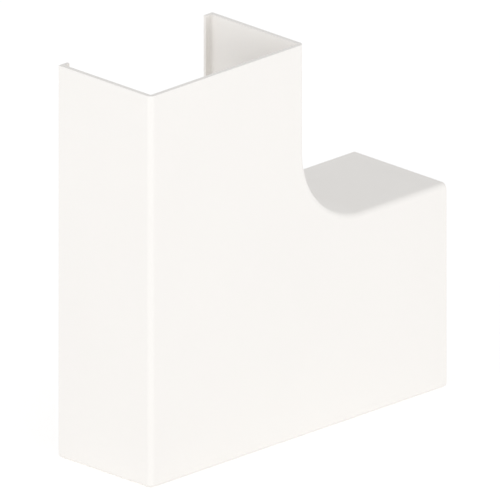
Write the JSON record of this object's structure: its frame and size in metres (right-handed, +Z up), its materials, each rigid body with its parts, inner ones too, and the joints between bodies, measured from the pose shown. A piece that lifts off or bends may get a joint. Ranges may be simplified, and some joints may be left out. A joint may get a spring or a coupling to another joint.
{
  "type": "trunking flat angle",
  "caption": "Moulded plastic L-shaped cover that closes a right-angle flat bend in 100 by 60 mm cable trunking, open at its ends and at the back, with hooked rear lips.",
  "frame": {"origin": "middle of the overall box, on the underside of the bottom wall", "axes": "+X along the side arm towards its open end, +Y from the front plate back to the wall that the trunking is fixed to, +Z up the upright arm towards its open end"},
  "size_m": [0.203, 0.0632, 0.203],
  "materials": {
    "white_plastic": "satin, finely textured injection-moulded white plastic"
  },
  "bodies": {
    "root": {"flat_angle": "white_plastic"}
  },
  "joints": []
}
